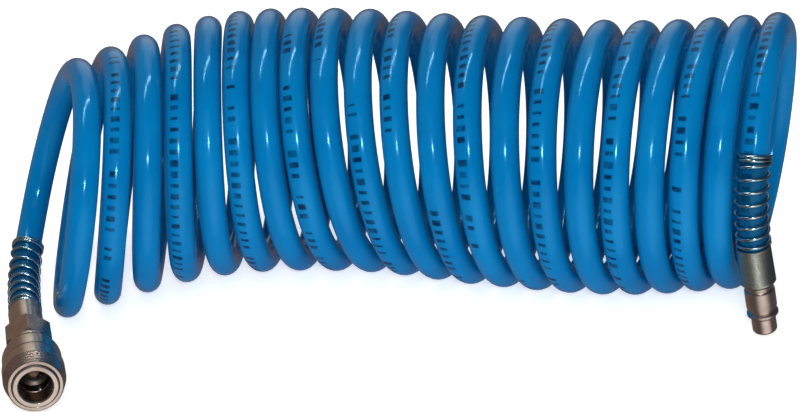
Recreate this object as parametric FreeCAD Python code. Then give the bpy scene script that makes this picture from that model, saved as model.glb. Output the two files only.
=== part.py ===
"""Coiled air hose with a quick coupler at one end and a plug at the other, lying on a flat surface.

Millimetres, +Z up. The origin is on the surface under the middle of the object, and +X runs along
the coil from the coupler's end to the plug's end. The hose is one length of tube: its coil is made
here as one fat tube of the coil's outer size, and each end that leaves the coil is a tube of its own.
"""
import FreeCAD, Part
import os
from math import cos, pi, radians, sin, tan

V = FreeCAD.Vector
os.makedirs("parts", exist_ok=True)

# ---- hose -----------------------------------------------------------------------------------------
HOSE_R = 5.0                 # outside radius of the tube
HOSE_BORE_R = 3.25           # inside radius of the tube
COIL_R = 44.0                # from the coil's middle line to the tube's middle line
TURNS_PER_STATION = 4

# Rings of the coil: middle x and y, then how far the ring is turned to the left and leant, in degrees.
# The first is the ring of turn 1 and the last is the ring of turn 21. Every ring stands on the surface.
STATIONS = [(-114.5, -2.5, 22.0, -20.0),
            (-67.0, 28.5, 13.0, -7.0),
            (-15.0, 34.5, 4.5, 3.5),
            (39.5, 26.5, -0.5, 2.0),
            (93.0, 22.0, -6.0, -2.5),
            (138.5, 28.5, -6.5, -4.5)]
COIL_FIRST_TURN = 1.55       # the fat tube lies between the two ends that leave the coil
COIL_LAST_TURN = 20.45
COIL_SECTIONS = 20

# Route of each end of the hose, from the top of its last turn to its fitting.
COUPLER_ROUTE = [(-96.5, -8.0, 88.5), (-106.5, 13.5, 88.5), (-118.5, 30.5, 77.0), (-130.0, 38.0, 57.5),
                 (-138.5, 34.5, 35.5), (-141.5, 23.0, 19.0), (-140.0, 4.0, 8.5), (-131.0, -21.0, 7.4),
                 (-120.6, -43.9, 9.3)]
PLUG_ROUTE = [(142.5, 40.0, 92.5), (141.0, 16.5, 92.5), (139.0, -4.0, 81.0), (137.0, -14.5, 60.0),
              (136.4, -15.0, 39.6), (138.05, -15.0, 22.9)]
BEND_SHARE = 0.45            # each bend uses this share of its shorter run

# ---- fittings: each is turned about its own axis, from the hose's end (0) to its free end ----------
COUPLER_TIP = V(-103.6, -81.1, 12.3)
COUPLER_YAW, COUPLER_TILT = 24.5, 4.2
COUPLER_LEN = 60.0
PLUG_TIP = V(140.2, -15.0, 1.6)
PLUG_YAW, PLUG_TILT = 90.0, -84.3
PLUG_LEN = 33.9

SLIP = 0.05                  # radial clearance of a running fit
ENTRY_FLARE = 0.45           # room in a nut's mouth for the bend of the hose
HOSE_DEPTH_COUPLER = 19.0    # hose pushed into the coupler's nut
GUARD_R = 6.1                # outside of the wire guards on the hose
GUARD_FROM_COUPLER_BEND = 5  # the guard starts this many bends, and then this far, along its route
GUARD_FROM_PLUG_BEND = 2
GUARD_PAST_COUPLER_BEND, GUARD_PAST_PLUG_BEND = 0.5, 5.8

COLLAR_R, COLLAR_LEN = 6.15, 18.2
HEX_AF, HEX_END, HEX_TURN = 16.0, 31.8, 24.0
STEM_R, BARB_R, STEM_BORE_R = 2.75, 3.2, 1.9
STEM_START, BARB_PITCH = 3.0, 2.6
NUT_THREAD_R = 6.2           # clamp nut on tail

SHOULDER_R, SHOULDER_START, SHOULDER_END = 8.6, 32.0, 40.0
CLIP_GROOVE_R, CLIP_GROOVE_START, CLIP_GROOVE_END = 7.8, 33.8, 38.9
SPIGOT_R = 6.4               # screwed joint between tail and body
BARREL_R = 7.6
FACE_R, FACE_START = 8.2, 57.6
ENTRY_R, ENTRY_START = 5.85, 52.4
SOCKET_R, SOCKET_START = 5.55, 47.6
NOSE_BORE_R, NOSE_BORE_START = 4.4, 43.6
SEAT_R, SEAT_START = 3.4, 42.6
CHAMBER_R, CHAMBER_START = 5.2, 32.8
TAIL_SEAL_LEN = 1.5
MOUTH_SEAL_R, MOUTH_SEAL_RING_R, MOUTH_SEAL_Z = 0.8, 4.85, 45.45
MOUTH_GROOVE_DEPTH, MOUTH_GROOVE_LEN = 1.25, 1.9

POPPET_TAIL, POPPET_HEAD, POPPET_FACE, POPPET_BUTTON = 36.2, 39.8, 41.5, 46.9
GUIDE_PIN_R, POPPET_HEAD_R, POPPET_STEM_R, BUTTON_R = 1.5, 4.4, 1.6, 2.6
VALVE_SEAL_R = 4.3
VALVE_SPRING_R, VALVE_WIRE_R, VALVE_TURNS = 3.4, 0.3, 4.0

BALL_R, BALL_Z, BALL_RING_R = 1.6, 50.5, 6.2
BALL_ANGLES = (40.0, 160.0, 280.0)
CONE_SLOPE = 0.25            # the sleeve's inner cone lets a ball out by this much of the sleeve's travel

SLEEVE_R, SLEEVE_BACK_R, SLEEVE_MOUTH_R = 11.0, 10.5, 9.4
SLEEVE_START, SLEEVE_END = 37.6, 59.2
WAIST_START, WAIST_END, WAIST_DEPTH = 45.2, 47.0, 0.4
RIDGE_START, RIDGE_PITCH, RIDGE_DEPTH, RIDGES = 53.4, 1.4, 0.35, 4
LAND_START, CONE_END = 47.0, 56.0
CLIP_R, CLIP_START, CLIP_LEN = 9.2, 37.85, 1.0
SLEEVE_SPRING_R, SLEEVE_WIRE_R, SLEEVE_TURNS = 8.12, 0.35, 3.25

RIB_R, RIB_DEPTH, RIB_PITCH = 6.25, 0.22, 0.7
PLUG_NUT_TAPER = 0.3         # the nut is this much smaller at the hose's end
PLUG_NUT_LEN, PLUG_NUT_BEVEL, PLUG_NUT_HOLE_R = 15.2, 1.3, 3.6
PLUG_STEM_R = 3.5
NECK_R, NECK_END = 4.6, 17.0
LAND_R, LAND_END = 5.3, 23.8
GROOVE_R, GROOVE_START, GROOVE_END = 4.4, 24.3, 25.4
LIP_R, LIP_START, LIP_END = 5.45, 26.1, 26.9
NOSE_R, NOSE_START = 4.25, 28.1


def save(shape, name):
    """Check one solid and write it to its own file."""
    solids = shape.Solids
    assert len(solids) == 1 and solids[0].isValid(), name
    solids[0].exportStep("parts/%s.step" % name)
    print("%-22s %9.1f mm3" % (name, solids[0].Volume))
    return solids[0]


def turned(points):
    """Solid of revolution about Z. A point is (radius, z), or (radius, z, via_radius, via_z) for an arc."""
    edges = []
    last = V(points[-1][0], 0, points[-1][1])
    for point in points:
        here = V(point[0], 0, point[1])
        if len(point) == 4:
            edges.append(Part.Arc(last, V(point[2], 0, point[3]), here).toShape())
        elif (here - last).Length > 1e-6:
            edges.append(Part.makeLine(last, here))
        last = here
    return Part.Face(Part.Wire(edges)).revolve(V(0, 0, 0), V(0, 0, 1), 360)


def ring(inner, outer, low, high):
    """Plain ring about Z."""
    return turned([(inner, low), (outer, low), (outer, high), (inner, high)])


def fitting_frame(tip, yaw, tilt, length):
    """Placement of a fitting: local Z runs out of its free end, local X is level."""
    c, s = cos(radians(tilt)), sin(radians(tilt))
    along = V(sin(radians(yaw)) * c, -cos(radians(yaw)) * c, s)
    level = V(cos(radians(yaw)), sin(radians(yaw)), 0)
    up = along.cross(level)
    base = tip - along * length
    return FreeCAD.Placement(FreeCAD.Matrix(level.x, up.x, along.x, base.x,
                                            level.y, up.y, along.y, base.y,
                                            level.z, up.z, along.z, base.z, 0, 0, 0, 1))


def placed(shape, frame):
    shape.Placement = frame.multiply(shape.Placement)
    return shape


# ---- hose -----------------------------------------------------------------------------------------
def between_stations(turn, column):
    """Smooth value of one column of STATIONS at a turn: a Catmull-Rom curve through the stations."""
    values = [row[column] for row in STATIONS]
    values = [2 * values[0] - values[1]] + values + [2 * values[-1] - values[-2]]
    place = (turn - 1) / TURNS_PER_STATION
    i = min(max(int(place), 0), len(STATIONS) - 2)
    u = place - i
    a, b, c, d = values[i:i + 4]
    return 0.5 * (2 * b + (c - a) * u + (2 * a - 5 * b + 4 * c - d) * u ** 2 + (3 * b - a - 3 * c + d) * u ** 3)


def coil_ring(turn):
    """Placement of the coil's ring at a turn: local Z is its axis and local X points to its top."""
    x, y, yaw, lean = [between_stations(turn, column) for column in range(4)]
    axis = V(1, tan(radians(yaw)), tan(radians(lean))).normalize()
    top = (V(0, 0, 1) - axis * axis.z).normalize()
    front = axis.cross(top)
    middle = V(x, y, HOSE_R + COIL_R * top.z)
    return FreeCAD.Placement(FreeCAD.Matrix(top.x, front.x, axis.x, middle.x,
                                            top.y, front.y, axis.y, middle.y,
                                            top.z, front.z, axis.z, middle.z, 0, 0, 0, 1))


def coil_solid():
    """Fat tube of the coil's outer size, hollow like the coil."""
    def skin(radius):
        step = (COIL_LAST_TURN - COIL_FIRST_TURN) / COIL_SECTIONS
        wires = []
        for i in range(COIL_SECTIONS + 1):
            wires.append(placed(Part.Wire(Part.makeCircle(radius)), coil_ring(COIL_FIRST_TURN + i * step)))
        return Part.makeLoft(wires, True, True)
    return skin(COIL_R + HOSE_R).cut(skin(COIL_R - HOSE_R))


def route_edges(points):
    """Straight runs joined by tangent arcs, each arc as large as its two runs allow."""
    points = [V(*p) for p in points]
    edges, start, radii = [], points[0], []
    for before, corner, after in zip(points, points[1:], points[2:]):
        back, ahead = before - corner, after - corner
        reach = BEND_SHARE * min(back.Length, ahead.Length)
        back.normalize()
        ahead.normalize()
        half_turn = (pi - back.getAngle(ahead)) / 2
        radius = reach / tan(half_turn)
        radii.append(radius)
        enter, leave = corner + back * reach, corner + ahead * reach
        inward = (back + ahead).normalize()
        middle = corner + inward * (radius / cos(half_turn) - radius)
        edges.append(Part.makeLine(start, enter))
        edges.append(Part.Arc(enter, middle, leave).toShape())
        start = leave
    edges.append(Part.makeLine(start, points[-1]))
    print("   bend radii", ", ".join("%.1f" % r for r in radii))
    return edges


def tube_along(edges, outer, inner):
    """Hollow tube along connected edges."""
    start = edges[0].Vertexes[0].Point
    heading = edges[0].tangentAt(edges[0].FirstParameter)
    path = Part.Wire(edges)

    def rod(radius):
        return path.makePipeShell([Part.Wire(Part.makeCircle(radius, start, heading))], True, False)
    tube = rod(outer).cut(rod(inner))
    expected = pi * (outer ** 2 - inner ** 2) * path.Length
    print("   length %.1f, volume / (section x length) = %.4f" % (path.Length, tube.Volume / expected))
    return tube


def guard_along(edges, bends_before, further, nut_frame):
    """Wire guard as a sleeve round the hose, from a point past one bend to the back face of the nut."""
    edges = edges[2 * bends_before:]
    while edges[0].Length < further:
        further -= edges.pop(0).Length
    first = edges[0]
    edges[0] = first.Curve.toShape(first.getParameterByLength(further), first.LastParameter)
    sleeve = tube_along(edges, GUARD_R, HOSE_R + SLIP)
    nut_space = placed(Part.makeCylinder(2 * GUARD_R, 4 * GUARD_R), nut_frame)
    return sleeve.cut(nut_space)


# ---- coupler --------------------------------------------------------------------------------------
def barbed_stem(start, end, back):
    """Profile points of a barbed stem, from its tip at start to end, with its root at radius back."""
    points = [(STEM_BORE_R, start), (STEM_R, start)]
    z = start
    while z + BARB_PITCH < end:
        points += [(BARB_R, z + BARB_PITCH - 0.4), (BARB_R, z + BARB_PITCH), (STEM_R, z + BARB_PITCH)]
        z += BARB_PITCH
    return points + [(STEM_R, end), (back, end)]


def coupler_nut():
    """Clamp nut: a plain collar that meets the wire guard, then a hexagon, bored for hose and tail."""
    corner_r = HEX_AF / 2 / cos(pi / 6)
    corners = [V(corner_r * cos(radians(a)), corner_r * sin(radians(a)), COLLAR_LEN) for a in range(0, 361, 60)]
    hexagon = Part.Face(Part.makePolygon(corners)).extrude(V(0, 0, HEX_END - COLLAR_LEN))
    hexagon.rotate(V(0, 0, 0), V(0, 0, 1), HEX_TURN)
    turned_off = 1.2
    limits = turned([(0, COLLAR_LEN), (HEX_AF / 2, COLLAR_LEN), (corner_r + 0.1, COLLAR_LEN + turned_off),
                     (corner_r + 0.1, HEX_END - turned_off), (HEX_AF / 2, HEX_END), (0, HEX_END)])
    collar = turned([(0, 0), (COLLAR_R - 0.5, 0), (COLLAR_R, 0.5, COLLAR_R - 0.15, 0.15),
                     (COLLAR_R, COLLAR_LEN + 0.5), (0, COLLAR_LEN + 0.5)])
    bore_r, thread_r = HOSE_R + SLIP, NUT_THREAD_R + SLIP
    flare_r = HOSE_R + ENTRY_FLARE
    bore = turned([(0, -1), (flare_r, -1), (flare_r, 0), (bore_r, COLLAR_LEN / 3),
                   (bore_r, HOSE_DEPTH_COUPLER + 0.5), (thread_r, HOSE_DEPTH_COUPLER + 3),
                   (thread_r, HEX_END + 1), (0, HEX_END + 1)])
    return collar.fuse(hexagon.common(limits)).cut(bore).removeSplitter()


def coupler_tail():
    """Rear half of the coupler: barbed stem, thread for the nut, shoulder with the clip's groove."""
    flange = HOSE_DEPTH_COUPLER + 3.2
    points = barbed_stem(STEM_START, flange, NUT_THREAD_R)
    points += [(NUT_THREAD_R, SHOULDER_START), (SHOULDER_R - 0.4, SHOULDER_START),
               (SHOULDER_R, SHOULDER_START + 0.4), (SHOULDER_R, CLIP_GROOVE_START),
               (CLIP_GROOVE_R, CLIP_GROOVE_START), (CLIP_GROOVE_R, CLIP_GROOVE_END),
               (SHOULDER_R, CLIP_GROOVE_END), (SHOULDER_R, SHOULDER_END), (SPIGOT_R + SLIP, SHOULDER_END),
               (SPIGOT_R + SLIP, CHAMBER_START), (STEM_BORE_R, CHAMBER_START)]
    return turned(points)


def coupler_body():
    """Front half: valve chamber and seat, nose bore, socket, and the flared face."""
    groove_r = NOSE_BORE_R + MOUTH_GROOVE_DEPTH
    groove_low, groove_high = MOUTH_SEAL_Z - MOUTH_GROOVE_LEN / 2, MOUTH_SEAL_Z + MOUTH_GROOVE_LEN / 2
    spigot_end = CHAMBER_START + TAIL_SEAL_LEN
    bevel = 0.5
    body = turned([(CHAMBER_R, spigot_end), (SPIGOT_R, spigot_end), (SPIGOT_R, SHOULDER_END),
                   (BARREL_R, SHOULDER_END), (BARREL_R, FACE_START - 1.0), (FACE_R, FACE_START),
                   (FACE_R, COUPLER_LEN - bevel), (FACE_R - bevel, COUPLER_LEN),
                   (ENTRY_R + bevel, COUPLER_LEN), (ENTRY_R, COUPLER_LEN - bevel), (ENTRY_R, ENTRY_START),
                   (SOCKET_R, ENTRY_START - 0.2), (SOCKET_R, SOCKET_START), (NOSE_BORE_R, SOCKET_START - 0.8),
                   (NOSE_BORE_R, groove_high), (groove_r, groove_high), (groove_r, groove_low),
                   (NOSE_BORE_R, groove_low), (NOSE_BORE_R, NOSE_BORE_START), (SEAT_R, NOSE_BORE_START),
                   (SEAT_R, SEAT_START), (CHAMBER_R, SEAT_START)])
    for angle in BALL_ANGLES:
        hole = Part.makeCylinder(BALL_R + SLIP, 4.0, V(SOCKET_R - 1.0, 0, BALL_Z), V(1, 0, 0))
        hole.rotate(V(0, 0, 0), V(0, 0, 1), angle)
        body = body.cut(hole)
    return body


def release_sleeve():
    """Sliding sleeve: grip ridges behind its rounded rim, a land and a cone over the balls inside."""
    cone_at_ball = BALL_RING_R + (BALL_R + 0.03) * (1 + CONE_SLOPE ** 2) ** 0.5
    land_r = BARREL_R + SLIP
    cone_start = BALL_Z - (cone_at_ball - land_r) / CONE_SLOPE
    cone_end_r = cone_at_ball + CONE_SLOPE * (CONE_END - BALL_Z)
    clip_low, clip_high = CLIP_START - 2 * SLIP, CLIP_START + CLIP_LEN + 2 * SLIP
    bore_r = SHOULDER_R + SLIP
    back_r, arc_depth = 1.1, 0.33
    outside = [(bore_r, SLEEVE_START), (SLEEVE_BACK_R - back_r, SLEEVE_START),
               (SLEEVE_BACK_R, SLEEVE_START + back_r, SLEEVE_BACK_R - arc_depth, SLEEVE_START + arc_depth),
               (SLEEVE_BACK_R, WAIST_START), (SLEEVE_BACK_R - WAIST_DEPTH, WAIST_START + WAIST_DEPTH),
               (SLEEVE_BACK_R - WAIST_DEPTH, WAIST_END - 2 * WAIST_DEPTH), (SLEEVE_R, WAIST_END)]
    taper = (SLEEVE_R - SLEEVE_MOUTH_R - RIDGE_DEPTH) / (SLEEVE_END - RIDGE_START)
    for i in range(RIDGES):
        z = RIDGE_START + i * RIDGE_PITCH
        crest = SLEEVE_R - taper * (z - RIDGE_START)
        outside += [(crest, z), (crest - RIDGE_DEPTH, z + 0.4), (crest - RIDGE_DEPTH - 0.3 * taper, z + 0.7),
                    (crest - 1.1 * taper, z + 1.1)]
    outside += [(SLEEVE_MOUTH_R + RIDGE_DEPTH, SLEEVE_END - RIDGE_DEPTH), (SLEEVE_MOUTH_R, SLEEVE_END)]
    lip_r = FACE_R + 4 * SLIP
    inside = [(lip_r, SLEEVE_END), (lip_r, SLEEVE_END - 1.0), (cone_end_r, SLEEVE_END - 1.4),
              (cone_end_r, CONE_END), (land_r, cone_start), (land_r, LAND_START),
              (bore_r, LAND_START), (bore_r, clip_high), (CLIP_R + SLIP, clip_high), (CLIP_R + SLIP, clip_low),
              (bore_r, clip_low)]
    return turned(outside + inside)


def spring(mean_r, wire_r, low, high, turns):
    """Helical wire spring whose wire stays between two heights."""
    height = high - low - 2 * wire_r
    helix = Part.makeHelix(height / turns, height, mean_r)
    helix.translate(V(0, 0, low + wire_r))
    start = V(mean_r, 0, low + wire_r)
    heading = V(0, 2 * pi * mean_r, height / turns)
    profile = Part.Wire(Part.makeCircle(wire_r, start, heading))
    return Part.Wire(helix.Edges).makePipeShell([profile], True, True)


def valve_poppet():
    """Poppet: guide pin, head, and the stem with its flat button that a plug pushes."""
    return turned([(0, POPPET_TAIL), (GUIDE_PIN_R - 0.2, POPPET_TAIL), (GUIDE_PIN_R, POPPET_TAIL + 0.2),
                   (GUIDE_PIN_R, POPPET_HEAD), (POPPET_HEAD_R, POPPET_HEAD), (POPPET_HEAD_R, POPPET_FACE),
                   (POPPET_STEM_R + 0.6, POPPET_FACE), (POPPET_STEM_R, POPPET_FACE + 0.9),
                   (POPPET_STEM_R, POPPET_BUTTON - 1.1), (BUTTON_R, POPPET_BUTTON - 0.6),
                   (BUTTON_R, POPPET_BUTTON), (BUTTON_R - 0.4, POPPET_BUTTON + 0.3), (0, POPPET_BUTTON + 0.3)])


# ---- plug -----------------------------------------------------------------------------------------
def plug_nut():
    """Round clamp nut with fine turned ribs and a bevelled front edge."""
    small_r = RIB_R - PLUG_NUT_TAPER
    points = [(HOSE_R + ENTRY_FLARE, 0), (small_r - 0.2, 0), (small_r, 0.2)]
    z = 0.6
    while z + RIB_PITCH < PLUG_NUT_LEN - 1.4:
        crest = small_r + PLUG_NUT_TAPER * z / PLUG_NUT_LEN
        points += [(crest, z), (crest - RIB_DEPTH, z + RIB_PITCH / 2 - 0.05),
                   (crest - RIB_DEPTH, z + RIB_PITCH / 2 + 0.05), (crest, z + RIB_PITCH - 0.05)]
        z += RIB_PITCH
    points += [(RIB_R, PLUG_NUT_LEN - PLUG_NUT_BEVEL), (RIB_R - PLUG_NUT_BEVEL, PLUG_NUT_LEN),
               (PLUG_NUT_HOLE_R, PLUG_NUT_LEN), (PLUG_NUT_HOLE_R, PLUG_NUT_LEN - 1.5),
               (HOSE_R + SLIP, PLUG_NUT_LEN - 2.5),
               (HOSE_R + SLIP, PLUG_NUT_LEN / 3)]
    return turned(points)


def plug_body():
    """Plug: barbed stem, neck, land, ball groove, lip and nose, bored right through."""
    neck_start = PLUG_NUT_LEN + 0.1
    points = barbed_stem(STEM_START, PLUG_NUT_LEN - 1.5, PLUG_STEM_R)
    points += [(PLUG_STEM_R, neck_start), (NECK_R, neck_start), (NECK_R, NECK_END), (LAND_R - 0.3, NECK_END),
               (LAND_R, NECK_END + 0.3), (LAND_R, LAND_END), (GROOVE_R, GROOVE_START),
               (GROOVE_R, GROOVE_END), (LIP_R, LIP_START), (LIP_R, LIP_END), (NOSE_R, NOSE_START),
               (NOSE_R, PLUG_LEN - 1.0), (NOSE_R - 1.0, PLUG_LEN, NOSE_R - 0.3, PLUG_LEN - 0.3),
               (STEM_BORE_R + 0.5, PLUG_LEN), (STEM_BORE_R, PLUG_LEN - 0.5)]
    return turned(points)


coupler = fitting_frame(COUPLER_TIP, COUPLER_YAW, COUPLER_TILT, COUPLER_LEN)
plug = fitting_frame(PLUG_TIP, PLUG_YAW, PLUG_TILT, PLUG_LEN)
coupler_edges = route_edges(COUPLER_ROUTE)
plug_edges = route_edges(PLUG_ROUTE)

pieces = {
    "hose_coil": coil_solid(),
    "hose_to_coupler": tube_along(coupler_edges, HOSE_R, HOSE_BORE_R),
    "hose_to_plug": tube_along(plug_edges, HOSE_R, HOSE_BORE_R),
    "coupler_spring_guard": guard_along(coupler_edges, GUARD_FROM_COUPLER_BEND, GUARD_PAST_COUPLER_BEND,
                                        coupler),
    "plug_spring_guard": guard_along(plug_edges, GUARD_FROM_PLUG_BEND, GUARD_PAST_PLUG_BEND, plug),
    "coupler_clamp_nut": placed(coupler_nut(), coupler),
    "coupler_tail": placed(coupler_tail(), coupler),
    "tail_seal": placed(ring(CHAMBER_R, SPIGOT_R, CHAMBER_START, CHAMBER_START + TAIL_SEAL_LEN), coupler),
    "coupler_body": placed(coupler_body(), coupler),
    "release_sleeve": placed(release_sleeve(), coupler),
    "sleeve_clip": placed(ring(CLIP_GROOVE_R + SLIP, CLIP_R, CLIP_START, CLIP_START + CLIP_LEN), coupler),
    "sleeve_spring": placed(spring(SLEEVE_SPRING_R, SLEEVE_WIRE_R, SHOULDER_END, LAND_START, SLEEVE_TURNS),
                            coupler),
    "valve_spring": placed(spring(VALVE_SPRING_R, VALVE_WIRE_R, CHAMBER_START, POPPET_HEAD, VALVE_TURNS),
                           coupler),
    "valve_poppet": placed(valve_poppet(), coupler),
    "valve_seal": placed(ring(POPPET_STEM_R + 0.65, VALVE_SEAL_R, POPPET_FACE, SEAT_START - SLIP), coupler),
    "mouth_seal": placed(Part.makeTorus(MOUTH_SEAL_RING_R, MOUTH_SEAL_R, V(0, 0, MOUTH_SEAL_Z), V(0, 0, 1)),
                         coupler),
    "plug_clamp_nut": placed(plug_nut(), plug),
    "plug_body": placed(plug_body(), plug),
}
for number, angle in enumerate(BALL_ANGLES, 1):
    middle = V(BALL_RING_R * cos(radians(angle)), BALL_RING_R * sin(radians(angle)), BALL_Z)
    pieces["locking_ball_%d" % number] = placed(Part.makeSphere(BALL_R, middle), coupler)

whole = Part.Compound([save(shape, name) for name, shape in pieces.items()]).optimalBoundingBox(False)
print("box x %.1f %.1f  y %.1f %.1f  z %.2f %.2f"
      % (whole.XMin, whole.XMax, whole.YMin, whole.YMax, whole.ZMin, whole.ZMax))
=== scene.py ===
"""Coiled air hose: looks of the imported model. Metres, in the model's own frame."""
from math import cos, pi, radians, sin, tan

import bpy
import numpy as np
from mathutils import Matrix, Vector


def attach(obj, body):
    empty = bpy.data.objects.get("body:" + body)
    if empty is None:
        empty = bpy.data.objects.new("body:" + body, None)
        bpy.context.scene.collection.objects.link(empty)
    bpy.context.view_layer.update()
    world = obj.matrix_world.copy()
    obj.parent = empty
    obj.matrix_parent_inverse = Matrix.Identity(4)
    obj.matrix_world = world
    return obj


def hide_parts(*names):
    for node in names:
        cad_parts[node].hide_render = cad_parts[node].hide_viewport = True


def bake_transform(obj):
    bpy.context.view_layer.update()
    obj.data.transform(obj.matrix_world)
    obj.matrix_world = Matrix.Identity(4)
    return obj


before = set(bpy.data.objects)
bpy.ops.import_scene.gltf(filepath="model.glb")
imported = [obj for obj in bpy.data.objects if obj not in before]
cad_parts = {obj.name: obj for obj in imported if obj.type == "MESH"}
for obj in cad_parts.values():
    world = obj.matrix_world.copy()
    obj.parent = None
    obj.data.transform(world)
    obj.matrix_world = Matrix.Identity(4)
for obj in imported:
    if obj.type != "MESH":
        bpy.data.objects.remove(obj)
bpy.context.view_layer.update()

MM = 0.001

# ---- the hose's line: the same rings and routes as the CAD model -------------------------------------
HOSE_R = 5.0 * MM
COIL_R = 44.0 * MM
TURNS_PER_STATION = 4
POINTS_PER_TURN = 24
FIRST_ANGLE, LAST_ANGLE = 37.5, -37.5          # where the loop of turns meets the two routes
STATIONS = [(-114.5, -2.5, 22.0, -20.0),
            (-67.0, 28.5, 13.0, -7.0),
            (-15.0, 34.5, 4.5, 3.5),
            (39.5, 26.5, -0.5, 2.0),
            (93.0, 22.0, -6.0, -2.5),
            (138.5, 28.5, -6.5, -4.5)]
COUPLER_ROUTE = [(-96.5, -8.0, 88.5), (-106.5, 13.5, 88.5), (-118.5, 30.5, 77.0), (-130.0, 38.0, 57.5),
                 (-138.5, 34.5, 35.5), (-141.5, 23.0, 19.0), (-140.0, 4.0, 8.5), (-131.0, -21.0, 7.4),
                 (-120.6, -43.9, 9.3)]
PLUG_ROUTE = [(142.5, 40.0, 92.5), (141.0, 16.5, 92.5), (139.0, -4.0, 81.0), (137.0, -14.5, 60.0),
              (136.4, -15.0, 39.6), (138.05, -15.0, 22.9)]
LAST_TURN = 1 + TURNS_PER_STATION * (len(STATIONS) - 1)
HOSE_SEGMENTS = 24
FIRST_SHARE, LAST_SHARE = 0.045, 0.965         # shares of its length between which the unused opening weights climb
STRETCH_EASE = 0.06                            # share of the opening part that eases in and out
TUBE_UV = "AroundAndAlong"

# ---- hose's colours ----------------------------------------------------------------------------------
HOSE_BLUES = [(0.0, 0.135, 0.36), (0.001, 0.17, 0.42)]
HOSE_TINT = (0.30, 0.78, 1.0)                  # of its gloss
DASH_COLOUR = (0.0, 0.012, 0.05)
PAINTED_GUARD_SHADE, PAINTED_GUARD_SHADE_COVER = (0.0, 0.022, 0.06), 0.72        # colour and cover of the painted shade on the hose under the guards

# ---- print dashes on the hose ------------------------------------------------------------------------
DASH_PITCH = 3.6 * MM
DASH_AROUND = 0.705                            # the row's place round the hose, in turns
GROUP_PERIOD, GROUP_START = 0.584, 0.51        # metres from one printed stretch to the next, and shift

# ---- wire guards over the hose's ends ----------------------------------------------------------------
WIRE_R = 0.58 * MM
GUARD_OPEN_TURNS, GUARD_CLOSED_TURNS = 7, 2
COUPLER_HOSE_DEPTH, PLUG_HOSE_DEPTH = 19.0 * MM, 12.6 * MM      # hose hidden in each fitting
COUPLER_GUARD_LEN, PLUG_GUARD_LEN = 44.0 * MM, 33.4 * MM
WIRE_SEGMENTS, WIRE_POINTS_PER_TURN = 12, 28
WIRE_CLEARANCE = 0.03 * MM                                      # between the wire and the hose
CLOSED_PITCH = 2.06 * WIRE_R                                    # from turn to turn where they lie close

# ---- fittings: free end, turn and tilt in degrees, and length from where the hose goes in ------------
COUPLER = ((-103.6, -81.1, 12.3), 24.5, 4.2, 60.0)
PLUG = ((140.2, -15.0, 1.6), 90.0, -84.3, 33.9)
COUPLER_BORE_R = 5.85 * MM

# ---- metals ------------------------------------------------------------------------------------------
EDGE_R = 0.1 * MM                              # rounding that the looks give to sharp edges
BARE = (0.86, 0.80, 0.70)                      # metal where an edge is rubbed
PAINTED_BORE_SHADE, PAINTED_BORE_SHADE_COVER = (0.05, 0.03, 0.022), 0.72          # colour and cover of the painted shade in the coupler's bore


def new_object(name, verts, faces):
    """Mesh object from points and faces, shaded smooth."""
    mesh = bpy.data.meshes.new(name)
    mesh.from_pydata([tuple(v) for v in verts], [], faces)
    mesh.update()
    mesh.shade_smooth()
    piece = bpy.data.objects.new(name, mesh)
    bpy.context.scene.collection.objects.link(piece)
    return piece


# ---- hose --------------------------------------------------------------------------------------------
def between_stations(turn, column):
    """Smooth value of one column of STATIONS at a turn: a Catmull-Rom curve through the stations."""
    values = [row[column] for row in STATIONS]
    values = [2 * values[0] - values[1]] + values + [2 * values[-1] - values[-2]]
    place = (turn - 1) / TURNS_PER_STATION
    i = min(max(int(place), 0), len(STATIONS) - 2)
    u = place - i
    a, b, c, d = values[i:i + 4]
    square, cube = 2 * a - 5 * b + 4 * c - d, 3 * b - a - 3 * c + d
    return 0.5 * (2 * b + (c - a) * u + square * u ** 2 + cube * u ** 3)


def coil_ring(turn):
    """Middle, axis, direction to the top and direction to the front of the coil's ring at a turn."""
    x, y, yaw, lean = [between_stations(turn, column) for column in range(4)]
    axis = Vector((1, tan(radians(yaw)), tan(radians(lean)))).normalized()
    top = (Vector((0, 0, 1)) - axis * axis.z).normalized()
    front = axis.cross(top)
    return Vector((x * MM, y * MM, HOSE_R + COIL_R * top.z)), axis, top, front


def hose_points():
    """Control points from the coupler to the plug, each with the coil's axis beside it."""
    first_axis, last_axis = coil_ring(1)[1], coil_ring(LAST_TURN)[1]
    points = [(Vector(p) * MM, first_axis) for p in reversed(COUPLER_ROUTE)]
    step = 360 / POINTS_PER_TURN
    radius = COIL_R / cos(radians(step / 2))
    steps = round((LAST_TURN - 1 + (LAST_ANGLE - FIRST_ANGLE) / 360) * POINTS_PER_TURN)
    for i in range(steps + 1):
        degrees = FIRST_ANGLE + i * step
        middle, axis, top, front = coil_ring(1 + degrees / 360)
        a = radians(degrees)
        points.append((middle + radius * (cos(a) * top + sin(a) * front), axis))
    return points + [(Vector(p) * MM, last_axis) for p in PLUG_ROUTE]


def spline_through(points, resolution):
    """Points along one open NURBS spline with those control points."""
    curve = bpy.data.curves.new("hose_line", "CURVE")
    curve.dimensions = "3D"
    spline = curve.splines.new("NURBS")
    spline.points.add(len(points) - 1)
    for control, point in zip(spline.points, points):
        control.co = (*point, 1)
    spline.order_u = 3
    spline.use_endpoint_u = True
    spline.resolution_u = resolution
    holder = bpy.data.objects.new("hose_line", curve)
    mesh = bpy.data.meshes.new_from_object(holder)
    line = np.array([v.co for v in mesh.vertices])
    bpy.data.objects.remove(holder)
    bpy.data.curves.remove(curve)
    bpy.data.meshes.remove(mesh)
    return line


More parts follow.
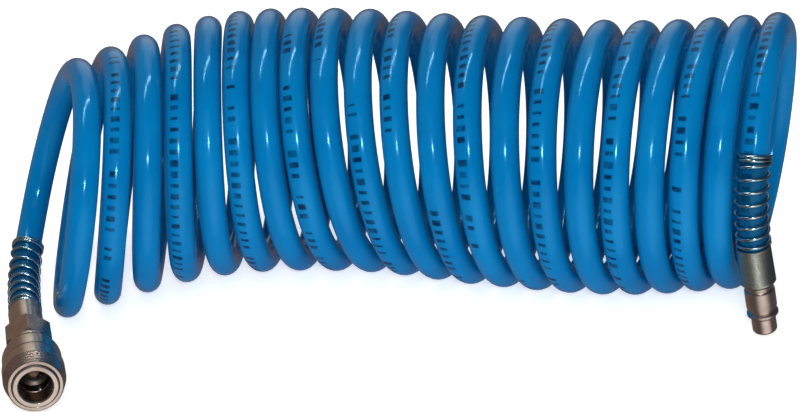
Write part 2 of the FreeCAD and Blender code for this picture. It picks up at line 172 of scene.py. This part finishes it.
class Line:
    """The hose's middle line with its length, direction and two cross directions at every point."""

    def __init__(self):
        control = hose_points()
        self.points = spline_through([p for p, _ in control], 5)
        steps = np.linalg.norm(np.diff(self.points, axis=0), axis=1)
        self.length = np.concatenate([[0], np.cumsum(steps)])
        self.along = np.gradient(self.points, axis=0)
        self.along /= np.linalg.norm(self.along, axis=1, keepdims=True)
        axes = np.array([axis for _, axis in control])
        place = np.linspace(0, len(control) - 1, len(self.points))
        axis = np.stack([np.interp(place, range(len(control)), axes[:, k]) for k in range(3)], 1)
        self.side = axis - (axis * self.along).sum(1, keepdims=True) * self.along
        self.side /= np.linalg.norm(self.side, axis=1, keepdims=True)
        self.out = np.cross(self.side, self.along)

    def at(self, length):
        """Point, direction, side and out at lengths along the line."""
        def mix(values):
            return np.stack([np.interp(length, self.length, values[:, k]) for k in range(3)], -1)
        return mix(self.points), mix(self.along), mix(self.side), mix(self.out)


def tube_mesh(name, points, side, out, radius, segments):
    """Closed tube round a line. Its UV map holds the turn round the tube and the metres along it."""
    angles = np.linspace(0, 2 * pi, segments, endpoint=False)
    ring = side[:, None] * np.cos(angles)[None, :, None] + out[:, None] * np.sin(angles)[None, :, None]
    verts = (points[:, None] + radius * ring).reshape(-1, 3)
    count = len(points)
    faces = [(i * segments + j, i * segments + (j + 1) % segments,
              (i + 1) * segments + (j + 1) % segments, (i + 1) * segments + j)
             for i in range(count - 1) for j in range(segments)]
    faces.append(tuple(reversed(range(segments))))
    faces.append(tuple(range((count - 1) * segments, count * segments)))
    piece = new_object(name, verts, faces)
    length = np.concatenate([[0], np.cumsum(np.linalg.norm(np.diff(points, axis=0), axis=1))])
    layer = piece.data.uv_layers.new(name=TUBE_UV)
    for face in piece.data.polygons[:-2]:
        i, j = divmod(face.index, segments)
        corners = [(i, j), (i, j + 1), (i + 1, j + 1), (i + 1, j)]
        for loop, (row, column) in zip(face.loop_indices, corners):
            layer.data[loop].uv = (column / segments, length[row])
    return piece


def make_hose(line):
    """The whole hose as one tube. Weights for opening its turns evenly as the plug's end is pulled are
    worked out but not used.
    """
    hose = tube_mesh("hose", line.points, line.side, line.out, HOSE_R, HOSE_SEGMENTS)
    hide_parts("hose_coil", "hose_to_coupler", "hose_to_plug")
    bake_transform(hose)
    first, last = line.length[-1] * FIRST_SHARE, line.length[-1] * LAST_SHARE
    share = np.clip((line.length - first) / (last - first), 0, 1)
    ease = STRETCH_EASE
    late = 1 - ease - (1 - share) ** 2 / (2 * ease)
    weight = np.where(share < ease, share ** 2 / (2 * ease), share - ease / 2)
    weight = np.where(share > 1 - ease, late, weight)
    return hose


def make_guard(name, line, start, end, body, node):
    """Wire guard wound round the hose from the nut (start) to its free end, where turns lie close."""
    sign = 1 if end > start else -1
    total = abs(end - start)
    closed = GUARD_CLOSED_TURNS * CLOSED_PITCH
    all_turns = 1 + GUARD_OPEN_TURNS + GUARD_CLOSED_TURNS
    turns = np.linspace(0, all_turns, WIRE_POINTS_PER_TURN * all_turns)
    along = np.interp(turns, [0, 1, 1 + GUARD_OPEN_TURNS, all_turns],
                      [WIRE_R, WIRE_R + CLOSED_PITCH, total - closed - WIRE_R, total - WIRE_R])
    middle, _, side, out = line.at(start + sign * along)
    angle = 2 * pi * turns
    radial = side * np.cos(angle)[:, None] + out * np.sin(angle)[:, None]
    points = middle + (HOSE_R + WIRE_R + WIRE_CLEARANCE) * radial
    heading = np.gradient(points, axis=0)
    heading /= np.linalg.norm(heading, axis=1, keepdims=True)
    wire_out = radial - (radial * heading).sum(1, keepdims=True) * heading
    wire_out /= np.linalg.norm(wire_out, axis=1, keepdims=True)
    guard = tube_mesh(name, points, wire_out, np.cross(heading, wire_out), WIRE_R, WIRE_SEGMENTS)
    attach(guard, body)
    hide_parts(node)
    return guard


def direction(azimuth, elevation):
    """Unit vector from the object towards a place, by degrees round from the front (-Y) and up."""
    a, e = radians(azimuth), radians(elevation)
    return Vector((sin(a) * cos(e), -cos(a) * cos(e), sin(e)))


def fitting_axis(fitting):
    """Direction out of a fitting's free end."""
    _, turn, tilt, _ = fitting
    return direction(turn, tilt)


def fitting_base(fitting):
    """Point on a fitting's axis where the hose goes in."""
    return (Vector(fitting[0]) - fitting_axis(fitting) * fitting[3]) * MM


def make_spring(name, node):
    """A coupler spring as a piece of its own, copied from its node."""
    bpy.context.view_layer.update()
    source = bpy.data.objects[node]
    mesh = source.data.copy()
    mesh.transform(source.matrix_world)
    spring = bpy.data.objects.new(name, mesh)
    bpy.context.scene.collection.objects.link(spring)
    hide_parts(node)
    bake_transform(spring)
    return spring


# ---- materials ---------------------------------------------------------------------------------------
class Nodes:
    """A node tree, with short ways to add and join nodes."""

    def __init__(self, owner, last):
        owner.use_nodes = True
        self.tree = owner.node_tree
        self.last = self.tree.nodes[last]

    def set(self, node, values):
        for key, value in values.items():
            if isinstance(value, bpy.types.NodeSocket):
                self.tree.links.new(value, node.inputs[key])
            else:
                node.inputs[key].default_value = value

    def add(self, kind, values=(), output=0, **settings):
        node = self.tree.nodes.new("ShaderNode" + kind)
        for key, value in settings.items():
            setattr(node, key, value)
        self.set(node, dict(values))
        return node.outputs[output]

    def math(self, operation, *values):
        return self.add("Math", dict(enumerate(values)), operation=operation)

    def ramp(self, value, low, high, out_low=0.0, out_high=1.0):
        return self.add("MapRange", {"Value": value, "From Min": low, "From Max": high,
                                     "To Min": out_low, "To Max": out_high})

    def mix(self, share, first, second):
        return self.add("Mix", {0: share, 6: first, 7: second}, output=2, data_type="RGBA")

    def noise(self, vector, scale, detail=2.0, roughness=0.5):
        return self.add("TexNoise", {"Vector": vector, "Scale": scale, "Detail": detail,
                                     "Roughness": roughness})

    def place(self):
        return self.add("TexCoord", output=3)

    def bump(self, height, distance, strength=1.0, normal=None):
        values = {"Height": height, "Distance": distance, "Strength": strength}
        if normal is not None:
            values["Normal"] = normal
        return self.add("Bump", values)


def rgba(r, g, b):
    return (r, g, b, 1.0)


def new_material(name):
    """A new material and its nodes, which end in the shader."""
    material = bpy.data.materials.new(name)
    return material, Nodes(material, "Principled BSDF")


def hose_material(first, last):
    """Glossy blue plastic with faint drawing lines, soft scuffs and a broken line of dark print dashes.

    Between the lengths first and last it is free; beyond them, under the guards, it is darker with
    painted shade.
    """
    material, n = new_material("hose_blue")
    uv = n.add("UVMap", uv_map=TUBE_UV)
    around = n.add("SeparateXYZ", {0: uv})
    along = around.node.outputs[1]
    # print: dashes of several widths in one row, on about every other turn of the coil
    cell = n.math("DIVIDE", along, DASH_PITCH)
    index = n.math("FLOOR", cell)
    within = n.math("FRACT", cell)
    chance = n.add("TexWhiteNoise", {"W": index}, noise_dimensions="1D")
    chance_2 = n.add("TexWhiteNoise", {"W": n.math("ADD", index, 71.3)}, noise_dimensions="1D")
    width = n.ramp(chance, 0, 1, 0.12, 0.30)
    bar = n.ramp(n.math("ABSOLUTE", n.math("SUBTRACT", within, 0.5)), n.math("ADD", width, 0.07),
                 n.math("SUBTRACT", width, 0.05))
    edge = n.noise(n.place(), 900.0, 2.0)
    tall = n.ramp(chance_2, 0, 1, 0.036, 0.058)
    off = n.math("ABSOLUTE", n.math("SUBTRACT", around, DASH_AROUND))
    off = n.math("ADD", off, n.ramp(edge, 0, 1, -0.008, 0.008))
    band = n.ramp(off, n.math("ADD", tall, 0.010), n.math("SUBTRACT", tall, 0.006))
    kept = n.math("GREATER_THAN", chance_2, 0.16)
    period = n.math("DIVIDE", n.math("ADD", along, GROUP_START), GROUP_PERIOD)
    group = n.math("GREATER_THAN", n.math("FRACT", period), 0.5)
    dash = n.math("MULTIPLY", n.math("MULTIPLY", bar, band), n.math("MULTIPLY", kept, group))
    dash = n.math("MULTIPLY", dash, n.ramp(n.noise(n.place(), 260.0, 3.0), 0.3, 0.62, 0.45, 0.95))
    # plastic
    cloud = n.noise(n.place(), 38.0, 3.0)
    blue = n.mix(n.ramp(cloud, 0.3, 0.7), rgba(*HOSE_BLUES[0]), rgba(*HOSE_BLUES[1]))
    colour = n.mix(dash, blue, rgba(*DASH_COLOUR))
    # painted shade: beyond first and last, under the guards, the hose is darkened as if shaded by the
    # wires
    guarded = n.math("ADD", n.math("LESS_THAN", along, first), n.math("GREATER_THAN", along, last))
    colour = n.mix(n.math("MULTIPLY", guarded, PAINTED_GUARD_SHADE_COVER), colour, rgba(*PAINTED_GUARD_SHADE))
    stretched = n.add("Mapping", {"Vector": uv, "Scale": (1.0, 1.2, 1.0)})
    lines = n.noise(stretched, 55.0, 2.0, 0.6)
    scuff = n.ramp(n.noise(n.place(), 160.0, 5.0, 0.65), 0.56, 0.70)
    rough = n.math("ADD", n.ramp(cloud, 0.35, 0.65, 0.12, 0.17), n.math("MULTIPLY", scuff, 0.10))
    rough = n.math("ADD", rough, n.math("MULTIPLY", dash, 0.12))
    normal = n.bump(lines, 0.04 * MM, 0.35)
    normal = n.bump(n.noise(n.place(), 420.0, 3.0), 0.03 * MM, 0.25, normal)
    n.set(n.last, {"Base Color": colour, "Roughness": rough, "Normal": normal, "IOR": 1.5,
                   "Specular Tint": rgba(*HOSE_TINT)})
    return material


def metal_material(name, light, dark, roughness, fitting=None, lines=0.0, tarnish=0.5, bore_r=None):
    """Plated or bare metal: cloudy tone, rubbed edges, and fine turning marks along a fitting's axis.

    Nearer to that axis than bore_r, the metal is darkened with painted shade.
    """
    material, n = new_material(name)
    place = n.place()
    cloud = n.noise(place, 130.0, 4.0, 0.6)
    fine = n.noise(place, 1500.0, 2.0)
    tone = n.ramp(cloud, 0.35, 0.68, 0.0, tarnish)
    rounded = n.add("Bevel", {"Radius": EDGE_R}, samples=4)
    facing = n.add("VectorMath", {0: rounded, 1: n.add("NewGeometry", output=1)}, output=1,
                   operation="DOT_PRODUCT")
    rubbed = n.ramp(facing, 0.995, 0.90)
    colour = n.mix(tone, rgba(*light), rgba(*dark))
    colour = n.mix(n.math("MULTIPLY", rubbed, 0.35), colour, rgba(*BARE))
    rough = n.ramp(cloud, 0.3, 0.7, roughness * 0.8, roughness * 1.3)
    rough = n.math("ADD", rough, n.ramp(fine, 0.3, 0.7, -0.02, 0.03))
    normal = rounded
    if fitting:
        axis = fitting_axis(fitting)
        local = n.add("VectorMath", {0: place, 1: tuple(fitting_base(fitting))}, operation="SUBTRACT")
        depth = n.add("VectorMath", {0: local, 1: tuple(axis)}, output=1, operation="DOT_PRODUCT")
        marks = n.add("TexNoise", {"W": depth, "Scale": 3500.0, "Detail": 3.0}, noise_dimensions="1D")
        normal = n.bump(marks, 0.01 * MM, lines, normal)
        if bore_r:
            whole = n.add("VectorMath", {0: local}, output=1, operation="LENGTH")
            from_axis = n.math("SQRT", n.math("SUBTRACT", n.math("MULTIPLY", whole, whole),
                                              n.math("MULTIPLY", depth, depth)))
            # painted shade: the bore's wall near the axis is darkened to stand in for the shade inside
            # it
            bore_shade_mask = n.ramp(from_axis, bore_r + EDGE_R, bore_r - EDGE_R, 0.0, PAINTED_BORE_SHADE_COVER)
            colour = n.mix(bore_shade_mask, colour, rgba(*PAINTED_BORE_SHADE))
    normal = n.bump(n.noise(place, 600.0, 3.0), 0.01 * MM, 0.10, normal)
    n.set(n.last, {"Base Color": colour, "Metallic": 1.0, "Roughness": rough, "Normal": normal})
    return material


def rubber_material():
    """Matt black rubber with a fine grain."""
    material, n = new_material("seal_black")
    grain = n.noise(n.place(), 2500.0, 3.0)
    n.set(n.last, {"Base Color": n.mix(grain, rgba(0.012, 0.012, 0.013), rgba(0.03, 0.029, 0.028)),
                   "Roughness": n.ramp(grain, 0.3, 0.7, 0.42, 0.62),
                   "Normal": n.bump(grain, 0.03 * MM, 0.4)})
    return material


# ---- camera and light --------------------------------------------------------------------------------
CAMERA_AZIMUTH, CAMERA_ELEVATION, CAMERA_ROLL = 15.0, 28.4, -6.5
CAMERA_TARGET, CAMERA_DISTANCE = Vector((3.3, 28.5, 24.4)) * MM, 850 * MM
CAMERA_LENS, CAMERA_REACH = 102.9, 20.0

# ---- floor, world and lights: sizes in metres, powers in watts ---------------------------------------
FLOOR_SIZE, FLOOR_WHITE, FLOOR_GLOW = 4.0, 0.86, 0.62
WORLD_DIM, WORLD_BELOW, WORLD_BACKDROP = (0.03, 0.035, 0.05), (0.10, 0.09, 0.085), (0.80, 0.80, 0.80)
WORLD_PATCHES = [((-120, 15), 0.1, 0.9, (0.21, 0.15, 0.115)),    # warm wall behind on the left
                 ((190, 20), 0.90, 0.985, (0.85, 0.82, 0.72)),    # window behind, in two panes
                 ((186, 50), 0.93, 0.985, (0.85, 0.76, 0.60)),
                 ((24, -24), 0.72, 0.975, (0.98, 0.90, 0.85))]    # pale table in front
LIT_POINT = Vector((0, 0, 0.045))
# name, direction and distance, two sizes, power, and whether it shows in reflections
AREA_LIGHTS = [("flash", (18.5, 33.0), 0.9, 0.085, 0.085, 2.4, True),
               ("front_softbox", (12, 42), 1.3, 1.1, 0.8, 8.6, False),
               ("back_softbox", (170, 50), 1.5, 1.2, 0.9, 2.5, False)]
# ceiling strip of two tubes, end to end: the directions of its ends, and each tube's share of its length
STRIP_ENDS, STRIP_WIDTH, STRIP_POWER = ((-77, 70), (157, 63)), 0.07, 3.2
STRIP_TUBES = [("strip_near", 0.0, 0.40), ("strip_far", 0.45, 1.0)]


def make_camera():
    """The photo's camera: aimed at CAMERA_TARGET from its direction, and rolled a little."""
    back = direction(CAMERA_AZIMUTH, CAMERA_ELEVATION)
    level = Vector((cos(radians(CAMERA_AZIMUTH)), sin(radians(CAMERA_AZIMUTH)), 0))
    up = back.cross(level)
    roll = radians(CAMERA_ROLL)
    right = cos(roll) * level + sin(roll) * up
    data = bpy.data.cameras.new("camera")
    data.lens = CAMERA_LENS
    data.clip_end = CAMERA_REACH
    camera = bpy.data.objects.new("camera", data)
    axes = Matrix((right, back.cross(right), back)).transposed().to_4x4()
    camera.matrix_world = Matrix.Translation(CAMERA_TARGET + back * CAMERA_DISTANCE) @ axes
    bpy.context.scene.collection.objects.link(camera)
    bpy.context.scene.camera = camera


def area_light(name, place, size, size_y, power, glossy=True, long_axis=Vector((1, 0, 0))):
    """Rectangular light at a place, aimed at LIT_POINT, with its first size along long_axis."""
    data = bpy.data.lights.new(name, "AREA")
    data.energy = power
    data.shape = "RECTANGLE"
    data.size, data.size_y = size, size_y
    light = bpy.data.objects.new(name, data)
    aim = (place - LIT_POINT).normalized()
    side = (long_axis - aim * long_axis.dot(aim)).normalized()
    axes = Matrix((side, aim.cross(side), aim)).transposed().to_4x4()
    light.matrix_world = Matrix.Translation(place) @ axes
    light.visible_glossy = glossy
    light.visible_camera = False
    bpy.context.scene.collection.objects.link(light)


def make_floor():
    """Matt white floor with a faint glow, left out of reflections."""
    corners = [(-1, -1), (1, -1), (1, 1), (-1, 1)]
    verts = [(FLOOR_SIZE * x, FLOOR_SIZE * y, 0) for x, y in corners]
    floor = new_object("floor", verts, [(0, 1, 2, 3)])
    material, n = new_material("floor_white")
    n.set(n.last, {"Base Color": rgba(*3 * [FLOOR_WHITE]), "Roughness": 0.9, "Specular IOR Level": 0.1,
                   "Emission Color": rgba(1.0, 1.0, 1.0), "Emission Strength": FLOOR_GLOW})
    floor.data.materials.append(material)
    floor.visible_glossy = False


def make_world():
    """Plain pale backdrop; what reflects is a dim room, warm on the left, above a pale table."""
    world = bpy.data.worlds.new("studio")
    n = Nodes(world, "Background")
    view = n.add("TexCoord")
    height = n.add("SeparateXYZ", {0: view}, output=2)
    room = n.mix(n.ramp(height, -0.05, -0.25), rgba(*WORLD_DIM), rgba(*WORLD_BELOW))
    for place, edge, full, colour in WORLD_PATCHES:
        towards = tuple(direction(*place))
        near = n.add("VectorMath", {0: view, 1: towards}, output=1, operation="DOT_PRODUCT")
        room = n.mix(n.ramp(near, edge, full), room, rgba(*colour))
    seen = n.add("LightPath")
    n.set(n.last, {"Color": n.mix(seen, room, rgba(*WORLD_BACKDROP))})
    bpy.context.scene.world = world


def make_lights():
    """The lamps of AREA_LIGHTS, and a ceiling strip one metre up between two directions."""
    for name, towards, distance, size, size_y, power, glossy in AREA_LIGHTS:
        area_light(name, direction(*towards) * distance, size, size_y, power, glossy)
    near, far = [direction(*end) / direction(*end).z for end in STRIP_ENDS]
    for name, a, b in STRIP_TUBES:
        start, end = near.lerp(far, a), near.lerp(far, b)
        area_light(name, (start + end) / 2, (end - start).length, STRIP_WIDTH, STRIP_POWER * (b - a),
                   long_axis=end - start)


make_camera()
make_floor()
make_world()
make_lights()
bpy.context.scene.view_settings.view_transform = "Standard"

line = Line()
plug_nut = line.length[-1] - PLUG_HOSE_DEPTH
coupler_guard_end, plug_guard_end = COUPLER_HOSE_DEPTH + COUPLER_GUARD_LEN, plug_nut - PLUG_GUARD_LEN
hose = make_hose(line)
hose.data.materials.append(hose_material(coupler_guard_end, plug_guard_end))
guards = [make_guard("guard_at_coupler", line, COUPLER_HOSE_DEPTH, coupler_guard_end,
                     "hose_and_coupler", "coupler_spring_guard"),
          make_guard("guard_at_plug", line, plug_nut, plug_guard_end, "plug_end", "plug_spring_guard")]

# metals: light and dark tone, roughness, fitting, and depth of the turning marks
NICKEL = metal_material("nickel_coupler", (0.66, 0.575, 0.515), (0.34, 0.27, 0.22), 0.26, COUPLER, 0.35)
BODY = metal_material("nickel_body", (0.70, 0.62, 0.57), (0.40, 0.33, 0.28), 0.28, COUPLER, 0.35,
                      bore_r=COUPLER_BORE_R)
NICKEL_PLUG = metal_material("nickel_plug", (0.70, 0.61, 0.56), (0.40, 0.32, 0.28), 0.30, PLUG, 0.3)
NUT = metal_material("nut_grey", (0.56, 0.60, 0.55), (0.34, 0.36, 0.33), 0.36, PLUG, 0.5)
WIRE = metal_material("wire_bright", (0.50, 0.74, 0.86), (0.24, 0.36, 0.44), 0.20, tarnish=0.5)
STEEL = metal_material("steel_bright", (0.75, 0.75, 0.75), (0.5, 0.5, 0.5), 0.12, tarnish=0.3)
# painted shade: the valve poppet's brass is darkened to stand in for the shade deep in the coupler's
# bore
BRASS_DARKENED_FOR_SHADE = metal_material("brass_with_painted_shade", (0.20, 0.13, 0.08), (0.12, 0.08, 0.05), 0.38, COUPLER, 0.5)
RUBBER = rubber_material()
for guard in guards:
    guard.data.materials.append(WIRE)
for spring in (make_spring("spring_under_sleeve", "sleeve_spring"),
               make_spring("spring_behind_valve", "valve_spring")):
    spring.data.materials.clear()
    spring.data.materials.append(STEEL)
LOOKS = {"coupler_clamp_nut": NICKEL, "coupler_tail": NICKEL, "coupler_body": BODY,
         "release_sleeve": NICKEL, "plug_clamp_nut": NUT, "plug_body": NICKEL_PLUG,
         "valve_poppet": BRASS_DARKENED_FOR_SHADE, "valve_seal": RUBBER, "mouth_seal": RUBBER, "tail_seal": RUBBER,
         "sleeve_clip": STEEL, "locking_ball_1": STEEL, "locking_ball_2": STEEL, "locking_ball_3": STEEL}
for node, material in LOOKS.items():
    mesh = bpy.data.objects[node].data
    mesh.materials.clear()
    mesh.materials.append(material)
